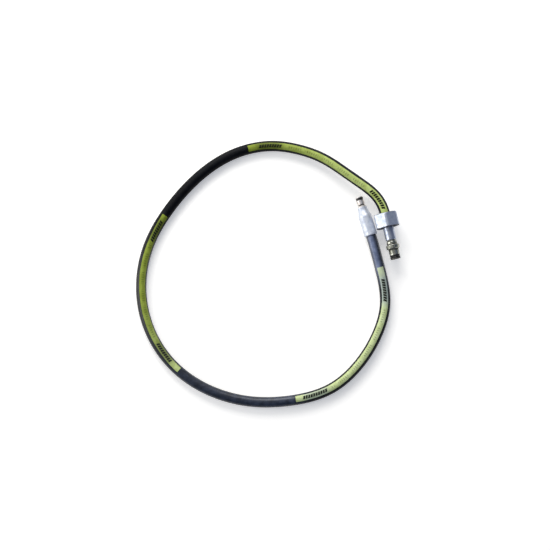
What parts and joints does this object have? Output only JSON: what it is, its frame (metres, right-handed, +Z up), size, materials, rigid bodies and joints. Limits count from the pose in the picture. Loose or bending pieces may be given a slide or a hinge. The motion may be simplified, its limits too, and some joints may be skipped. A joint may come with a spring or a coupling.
{
  "type": "hydraulic hose assembly",
  "caption": "Flexible high-pressure rubber hose lying in a loop, with a crimped plug fitting on one end and a crimped union fitting with a sliding hexagon nut on the other.",
  "frame": {"origin": "tip of the plug fitting, on its axis", "axes": "+Y out of the plug along its axis, +Z up from the surface that the hose lies on, +X towards the union fitting; the surface is at z = -7.9 mm"},
  "size_m": [0.3236, 0.3119, 0.0324],
  "materials": {
    "cover_rubber": "black oil-resistant rubber with a fine cross-wrapped texture and a yellow-green layline",
    "braid_wire": "plaited high-tensile wire",
    "liner_rubber": "smooth black rubber",
    "plug_zinc": "bright zinc plate, crimped and lightly scuffed",
    "union_zinc": "bright zinc plate, crimped and lightly scuffed",
    "nut_zinc": "zinc plate on turned and milled steel",
    "plug_steel": "turned steel with a bright, faintly warm zinc plate",
    "stem_steel": "turned steel with a tarnished yellow passivation",
    "seal_rubber": "black nitrile rubber",
    "backup_plastic": "black hard plastic",
    "slip_brass": "bare turned brass"
  },
  "bodies": {
    "hose": {"hose_cover": "cover_rubber", "hose_braid": "braid_wire", "hose_liner": "liner_rubber", "plug_ferrule": "plug_zinc", "plug_stem": "plug_steel", "plug_o_ring": "seal_rubber", "plug_backup_ring": "backup_plastic", "union_ferrule": "union_zinc", "union_stem": "stem_steel", "union_o_ring": "seal_rubber", "union_backup_ring": "backup_plastic"},
    "slip_ring": {"union_slip_ring": "slip_brass"},
    "nut": {"union_nut": "nut_zinc"}
  },
  "joints": [
    {"name": "nut_slide", "type": "slide", "parent": "hose", "child": "slip_ring", "axis": [-0.0698, -0.9976, 0], "range_m": [0, 0.0313]},
    {"name": "nut_spin", "type": "hinge", "parent": "slip_ring", "child": "nut", "pos_m": [0.0218, -0.0368, 0.0096], "axis": [-0.0698, -0.9976, 0], "continuous": true}
  ]
}
